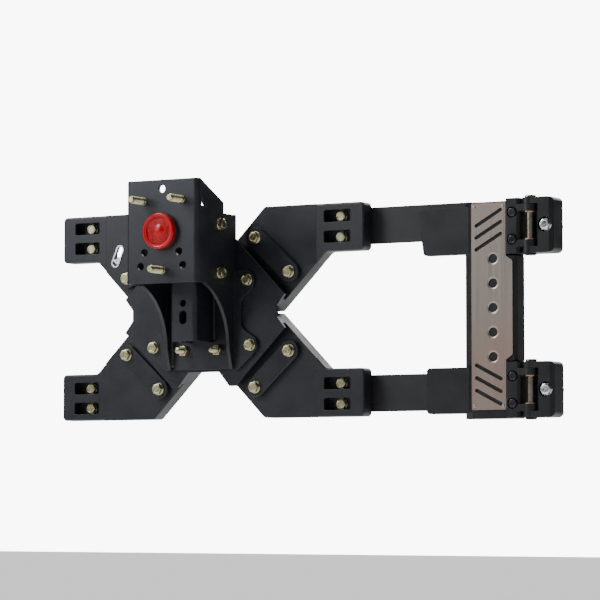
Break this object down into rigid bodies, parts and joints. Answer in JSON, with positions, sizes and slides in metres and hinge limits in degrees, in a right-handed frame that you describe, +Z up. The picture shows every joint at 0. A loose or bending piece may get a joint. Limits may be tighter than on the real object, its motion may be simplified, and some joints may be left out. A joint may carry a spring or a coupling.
{
  "type": "spare tire carrier",
  "caption": "Swing-out spare tire carrier: a cross bracket with a depth-adjustable wheel mount and lamp, tied to a heavy hinge strap with bushed pin hinges.",
  "frame": {"origin": "centre of the cross bracket on the outer face of the tailgate skin", "axes": "+X to the vehicle's right, where the hinges are; +Y forward, into the tailgate; +Z up"},
  "size_m": [0.939, 0.232, 0.3975],
  "materials": {
    "textured_black": "fine-textured black powder coat on steel and cast steel",
    "satin_black_plate": "satin black powder coat on flat steel plate",
    "casting_black": "satin black coat on castings",
    "backing_black": "plain black electrocoat",
    "brushed_trim": "stainless sheet, brushed along its length, warm tint",
    "yellow_zinc": "yellow passivated zinc on steel",
    "plain_zinc": "clear zinc on steel",
    "bright_zinc": "bright zinc on steel",
    "black_oxide": "black oxide on steel",
    "bronze": "sintered bronze",
    "pin_steel": "ground steel with a brown oil film",
    "rubber_black": "matt black rubber",
    "red_lens": "glossy red moulded lens",
    "black_plastic": "fine-grained black plastic",
    "circuit_board": "green solder mask",
    "led_body": "pale moulded emitters"
  },
  "bodies": {
    "body_side": {"body_leaf_upper": "casting_black", "body_leaf_lower": "casting_black", "body_leaf_bolts": "bright_zinc", "pin_upper": "pin_steel", "pin_lower": "pin_steel", "pin_retainers": "black_oxide"},
    "gate": {"arm_upper_right": "textured_black", "arm_upper_left": "textured_black", "arm_lower_right": "textured_black", "arm_lower_left": "textured_black", "pad_upper_right": "textured_black", "pad_upper_left": "textured_black", "pad_lower_right": "textured_black", "pad_lower_left": "textured_black", "pad_gaskets": "rubber_black", "tailgate_bolts": "yellow_zinc", "tailgate_nuts": "plain_zinc", "clamp_bar_upper_right": "satin_black_plate", "clamp_bar_upper_left": "satin_black_plate", "clamp_bar_lower_right": "satin_black_plate", "clamp_bar_lower_left": "satin_black_plate", "clamp_bolts": "yellow_zinc", "clamp_nuts": "plain_zinc", "centre_plate": "satin_black_plate", "base_back_plate": "textured_black", "base_side_right": "textured_black", "base_side_left": "textured_black", "base_post": "textured_black", "foot_bolts": "yellow_zinc", "base_bolts": "yellow_zinc", "base_nuts": "yellow_zinc", "harness_clip": "bright_zinc", "hinge_strap": "casting_black", "strap_gasket": "rubber_black", "trim_plate": "brushed_trim", "trim_rivets": "brushed_trim", "gate_leaf_upper": "casting_black", "gate_leaf_lower": "casting_black", "gate_leaf_bolts": "black_oxide", "bushes_upper": "bronze", "bushes_lower": "bronze", "tie_plate_upper": "backing_black", "tie_plate_lower": "backing_black", "nut_plate_upper": "backing_black", "nut_plate_lower": "backing_black", "tab_bolts": "yellow_zinc"},
    "wheel_mount": {"wheel_channel": "satin_black_plate", "wheel_studs": "yellow_zinc", "adjuster_bolts": "yellow_zinc", "adjuster_nuts": "plain_zinc", "lamp_lens": "red_lens", "lamp_grommet": "rubber_black", "lamp_housing": "black_plastic", "lamp_board": "circuit_board", "lamp_leds": "led_body", "lamp_socket": "black_plastic"}
  },
  "joints": [
    {"name": "gate_swing", "type": "hinge", "parent": "body_side", "child": "gate", "pos_m": [0.598, -0.026, 0], "axis": [0, 0, 1], "range_deg": [0, 100]},
    {"name": "depth_adjust", "type": "slide", "parent": "gate", "child": "wheel_mount", "axis": [0, -1, 0], "range_m": [-0.028, 0.02]}
  ]
}
